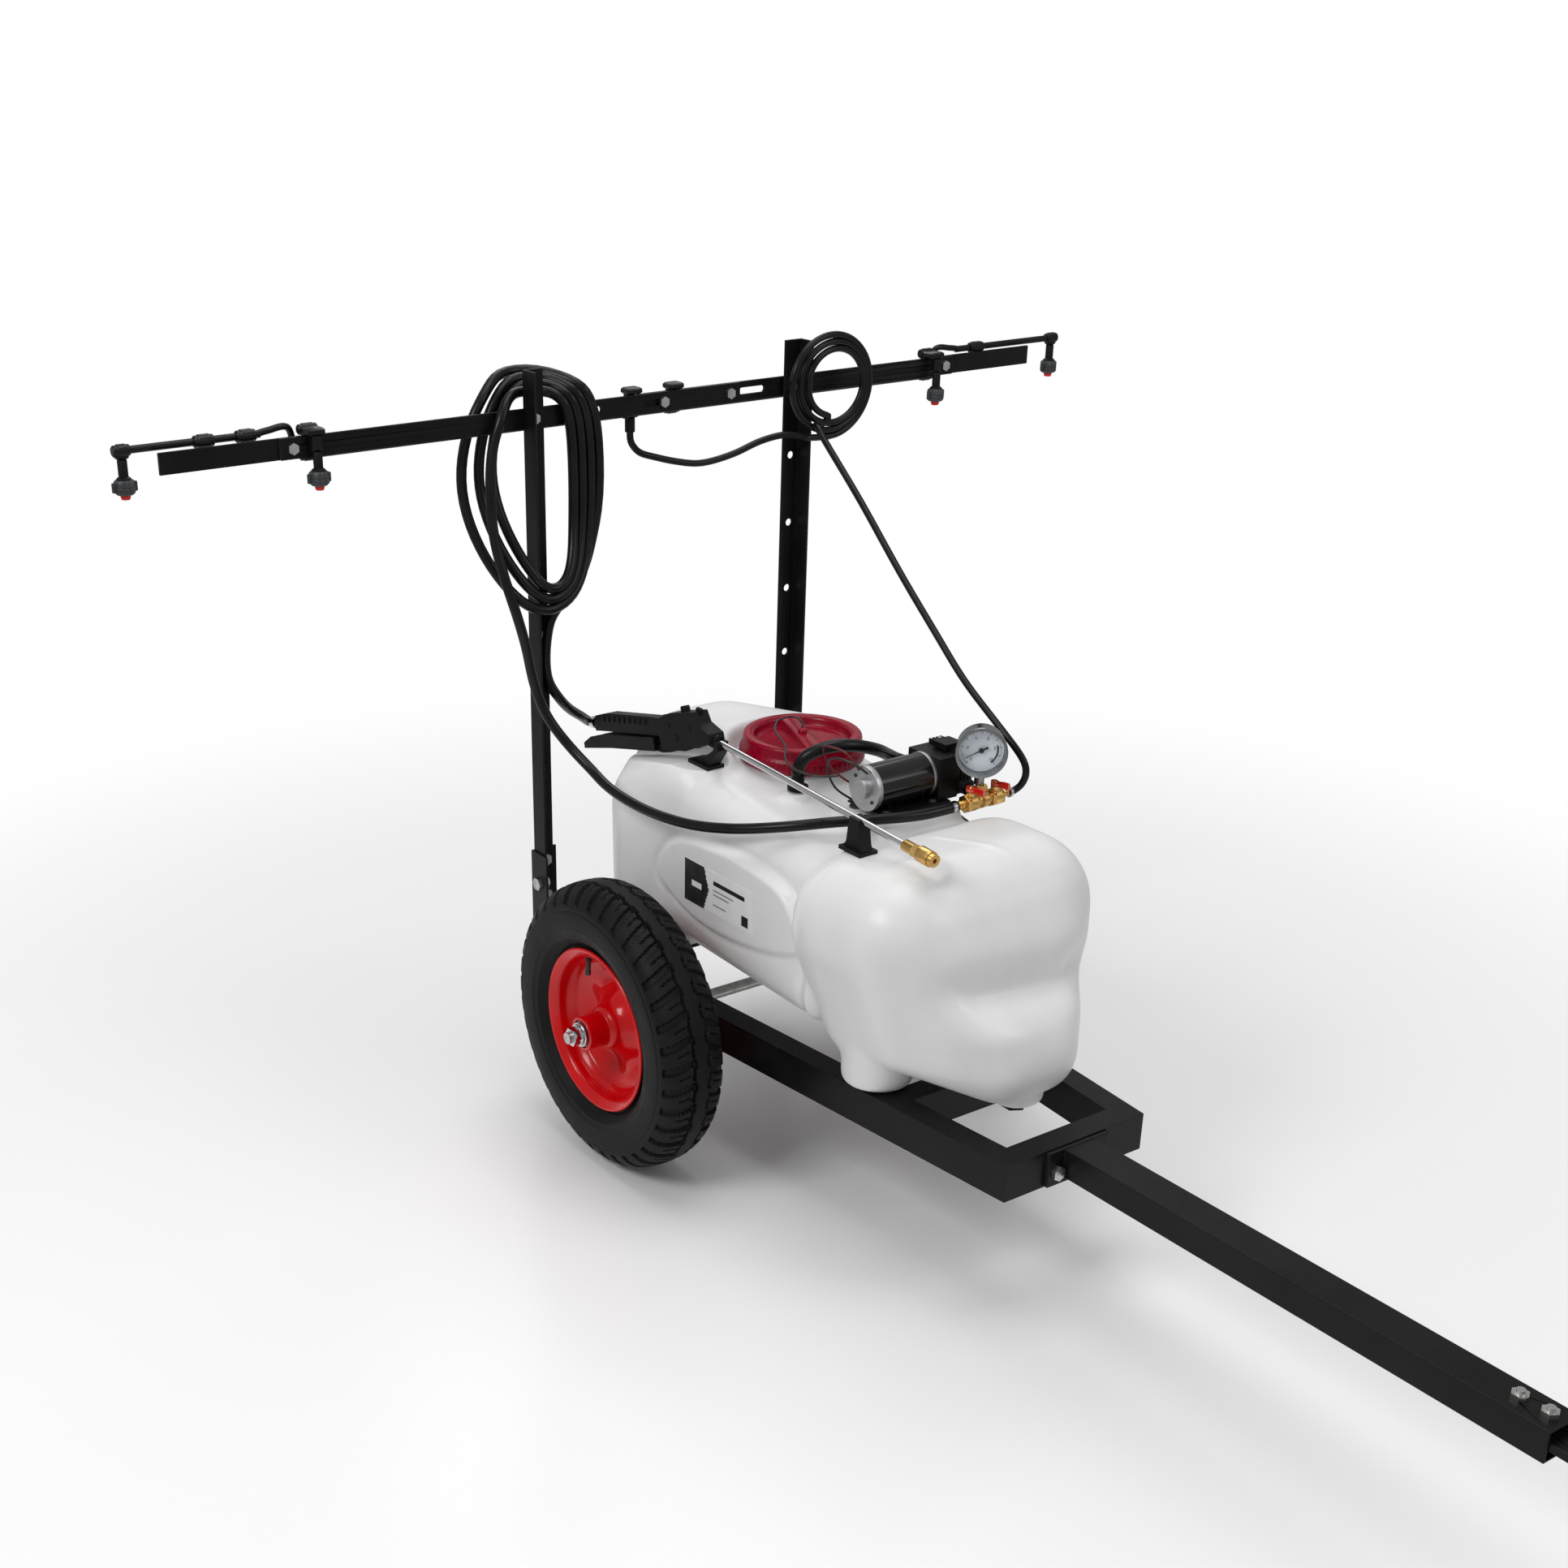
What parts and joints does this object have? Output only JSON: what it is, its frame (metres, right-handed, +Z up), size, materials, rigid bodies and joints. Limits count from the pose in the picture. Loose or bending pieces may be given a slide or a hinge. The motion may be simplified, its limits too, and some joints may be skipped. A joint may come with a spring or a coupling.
{
  "type": "wheeled sprayer cart",
  "caption": "Tow-behind sprayer cart with a white tank, pneumatic wheels, 12 V pump with gauge and valve manifold, spray gun and a folding boom on two posts.",
  "frame": {"origin": "on the ground under the middle of the cart's bounding box", "axes": "+X forward along the drawbar, +Y to the left-hand side, +Z up"},
  "size_m": [1.6792, 1.531, 1.0352],
  "materials": {
    "frame_black": "semi-gloss powder coat",
    "black_plastic": "satin",
    "zinc_steel": "zinc plated",
    "tank_white": "soft gloss, slightly translucent",
    "label_print": "printed film",
    "strainer_plastic": "satin",
    "grey_plastic": "satin",
    "tyre_rubber": "matte",
    "tube_rubber": "matte",
    "rim_red": "gloss",
    "lid_red": "gloss",
    "wire_sleeve": "gloss",
    "hose_black": "semi-gloss",
    "motor_black": "high gloss",
    "cast_silver": "satin",
    "copper_iron": "wound",
    "brass": "machined",
    "handle_red": "gloss",
    "gauge_steel": "polished",
    "dial_white": "printed",
    "needle_black": "satin",
    "clear_glass": "clear",
    "stainless": "polished"
  },
  "bodies": {
    "chassis": {"main_frame": "frame_black", "rail_caps": "black_plastic", "drawbar": "frame_black", "hitch_tongue": "frame_black", "frame_bolts": "zinc_steel", "axle": "zinc_steel", "axle_nuts": "zinc_steel", "wheel_bearings": "zinc_steel", "post_right": "frame_black", "post_left": "frame_black", "tank": "tank_white", "label": "label_print", "strainer": "strainer_plastic", "suction_fitting": "black_plastic", "pickup_tube": "grey_plastic", "suction_hose": "hose_black", "pump_motor": "motor_black", "pump_caps": "cast_silver", "pump_head": "black_plastic", "pump_base": "black_plastic", "pump_feet": "tube_rubber", "pump_wires": "wire_sleeve", "manifold": "brass", "hose_clamps": "zinc_steel", "gauge_case": "gauge_steel", "gauge_dial": "dial_white", "gauge_lens": "clear_glass", "wand_hose": "hose_black", "boom_hose": "hose_black", "boom_bar_right": "frame_black", "boom_bar_left": "frame_black", "boom_bolts": "zinc_steel", "nozzles_inner": "black_plastic", "spray_line": "hose_black", "gun_body": "black_plastic", "lance": "stainless", "gun_clips": "black_plastic"},
    "wheel_right": {"tyre_right": "tyre_rubber", "tube_right": "tube_rubber", "rim_right": "rim_red"},
    "wheel_left": {"tyre_left": "tyre_rubber", "tube_left": "tube_rubber", "rim_left": "rim_red"},
    "lid_seal": {"lid_gasket": "tube_rubber", "lid_tether": "wire_sleeve"},
    "lid_cap": {"lid": "lid_red"},
    "drain": {"drain_plug": "black_plastic"},
    "rotor": {"pump_rotor": "copper_iron"},
    "handle_a": {"valve_a": "handle_red"},
    "handle_b": {"valve_b": "handle_red"},
    "needle": {"gauge_needle": "needle_black"},
    "fold_right": {"arm_right": "frame_black", "nozzle_right": "black_plastic", "line_right": "hose_black"},
    "fold_left": {"arm_left": "frame_black", "nozzle_left": "black_plastic", "line_left": "hose_black"},
    "trigger": {"gun_trigger": "black_plastic"},
    "spray_tip": {"lance_nozzle": "brass"}
  },
  "joints": [
    {"name": "wheel_right_spin", "type": "hinge", "parent": "chassis", "child": "wheel_right", "pos_m": [-0.5017, -0.2505, 0.2], "axis": [0, 1, 0], "continuous": true},
    {"name": "wheel_left_spin", "type": "hinge", "parent": "chassis", "child": "wheel_left", "pos_m": [-0.5017, 0.2895, 0.2], "axis": [0, 1, 0], "continuous": true},
    {"name": "lid_lift", "type": "slide", "parent": "chassis", "child": "lid_seal", "axis": [0, 0, 1], "range_m": [0, 0.012]},
    {"name": "lid_turn", "type": "hinge", "parent": "lid_seal", "child": "lid_cap", "pos_m": [-0.4917, 0.0455, 0.54], "axis": [0, 0, 1], "range_deg": [0, 721]},
    {"name": "drain_turn", "type": "hinge", "parent": "chassis", "child": "drain", "pos_m": [-0.0497, 0.0555, 0.19], "axis": [0, 0, 1], "continuous": true},
    {"name": "pump_spin", "type": "hinge", "parent": "chassis", "child": "rotor", "pos_m": [-0.3057, 0.0495, 0.546], "axis": [0, 1, 0], "continuous": true},
    {"name": "valve_a_turn", "type": "hinge", "parent": "chassis", "child": "handle_a", "pos_m": [-0.2397, 0.1235, 0.521], "axis": [0, 0, 1], "range_deg": [-90, 0]},
    {"name": "valve_b_turn", "type": "hinge", "parent": "chassis", "child": "handle_b", "pos_m": [-0.2397, 0.1665, 0.521], "axis": [0, 0, 1], "range_deg": [0, 90]},
    {"name": "needle_sweep", "type": "hinge", "parent": "chassis", "child": "needle", "pos_m": [-0.2437, 0.1405, 0.588], "axis": [0.766, -0.6428, 0], "range_deg": [-250, 0]},
    {"name": "arm_right_fold", "type": "hinge", "parent": "chassis", "child": "fold_right", "pos_m": [-0.7837, -0.5415, 0.9586], "axis": [1, 0, 0], "range_deg": [-90, 0]},
    {"name": "arm_left_fold", "type": "hinge", "parent": "chassis", "child": "fold_left", "pos_m": [-0.7877, 0.5245, 0.9586], "axis": [1, 0, 0], "range_deg": [0, 90]},
    {"name": "trigger_squeeze", "type": "hinge", "parent": "chassis", "child": "trigger", "pos_m": [-0.5937, -0.0805, 0.55], "axis": [0, 1, 0], "range_deg": [0, 5]},
    {"name": "spray_tip_twist", "type": "hinge", "parent": "chassis", "child": "spray_tip", "pos_m": [-0.1297, -0.0805, 0.54414], "axis": [0.9985, 0, -0.0543], "range_deg": [0, 180]}
  ],
  "couplings": [
    {"joint": "lid_turn", "follows": "lid_lift", "rad_per_m": 1047.2}
  ]
}
